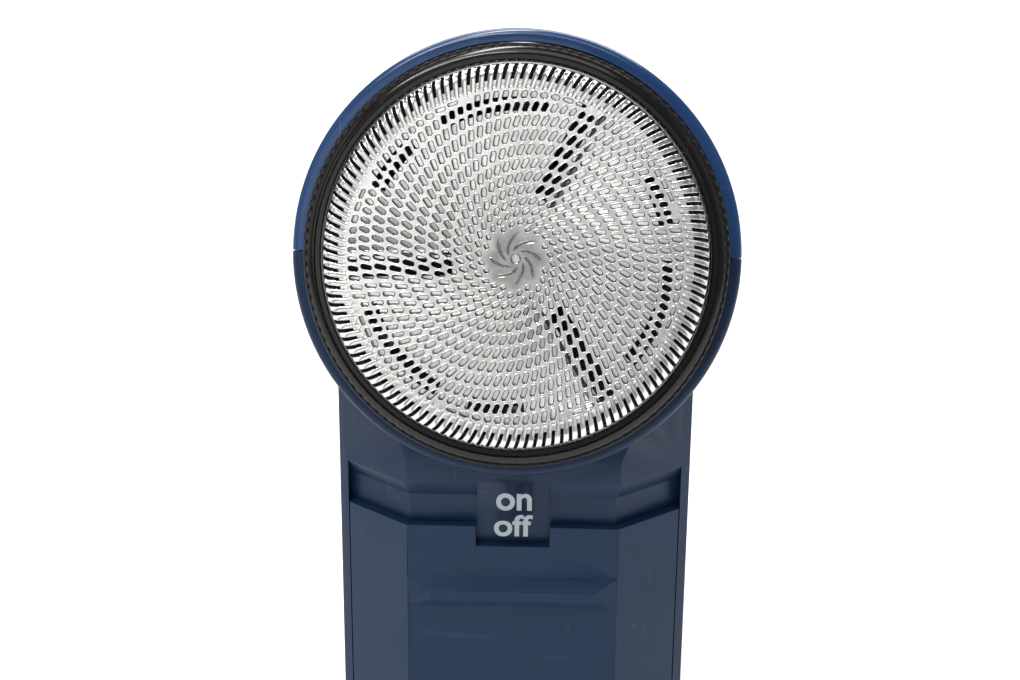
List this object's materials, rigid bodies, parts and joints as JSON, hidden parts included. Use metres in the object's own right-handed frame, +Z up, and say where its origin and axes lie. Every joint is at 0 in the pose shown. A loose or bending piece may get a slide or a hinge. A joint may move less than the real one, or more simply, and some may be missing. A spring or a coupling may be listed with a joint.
{
  "type": "fabric shaver",
  "caption": "Battery fabric shaver with a round perforated foil, spinning blades, a lint container and a thumb slider on a chamfered handle.",
  "frame": {"origin": "middle of the flat end of the handle, on which the shaver stands", "axes": "+Z up along the handle to the head, -Y to the front that the foil faces, +X to the right seen from behind"},
  "size_m": [0.068, 0.0528, 0.138],
  "materials": {
    "housing": "satin moulded navy plastic",
    "slider": "satin moulded navy plastic",
    "container": "glossy moulded blue plastic",
    "inner_plastic": "matt black plastic",
    "ring": "glossy black plastic",
    "foil": "bright etched steel",
    "carrier": "bright satin steel disc",
    "blade": "ground steel",
    "steel": "plated steel",
    "motor": "plated steel can",
    "cream_plastic": "cream plastic",
    "brass": "brass",
    "cell": "plain printed sleeve",
    "contact": "nickel-plated spring steel",
    "red_wire": "red insulation",
    "black_wire": "black insulation"
  },
  "bodies": {
    "casing": {"front_housing": "housing", "rear_housing": "housing", "housing_screws": "steel", "motor_cover": "inner_plastic", "cutter_cup": "inner_plastic", "cup_screws": "steel", "motor_can": "motor", "motor_end_cap": "cream_plastic", "motor_terminals": "brass", "motor_screws": "steel", "switch_body": "inner_plastic", "switch_terminals": "brass", "switch_screws": "steel", "battery_tray": "inner_plastic", "cell_left": "cell", "cell_right": "cell", "positive_contact": "contact", "negative_contact": "contact", "bridge_contact": "contact", "wire_battery": "red_wire", "wire_switch": "red_wire", "wire_return": "black_wire"},
    "rotor": {"blade_carrier": "carrier", "blade_1": "blade", "blade_2": "blade", "blade_3": "blade", "rotor_hub": "cream_plastic", "motor_shaft": "steel"},
    "container": {"lint_container": "container"},
    "foil_cap": {"foil": "foil"},
    "ring": {"retaining_ring": "ring"},
    "slider": {"thumb_slider": "slider"},
    "lever": {"switch_lever": "cream_plastic"},
    "door": {"battery_door": "housing"}
  },
  "joints": [
    {"name": "rotor_spin", "type": "hinge", "parent": "casing", "child": "rotor", "pos_m": [0, -0.007, 0.106], "axis": [0, -0.9511, 0.309], "continuous": true},
    {"name": "slider_travel", "type": "slide", "parent": "casing", "child": "slider", "axis": [0, 0, 1], "range_m": [0, 0.0044]},
    {"name": "lever_travel", "type": "slide", "parent": "casing", "child": "lever", "axis": [0, 0, 1], "range_m": [0, 0.0044]},
    {"name": "foil_lift", "type": "slide", "parent": "casing", "child": "foil_cap", "axis": [0, -0.9511, 0.309], "range_m": [0, 0.025]},
    {"name": "ring_turn", "type": "hinge", "parent": "foil_cap", "child": "ring", "pos_m": [0, -0.007, 0.106], "axis": [0, -0.9511, 0.309], "range_deg": [0, 20]},
    {"name": "container_pull", "type": "slide", "parent": "casing", "child": "container", "axis": [0, 0.309, 0.9511], "range_m": [0, 0.035]},
    {"name": "door_lift", "type": "slide", "parent": "casing", "child": "door", "axis": [0, 1, 0], "range_m": [0, 0.02]}
  ],
  "couplings": [
    {"joint": "lever_travel", "follows": "slider_travel", "ratio": 1}
  ]
}
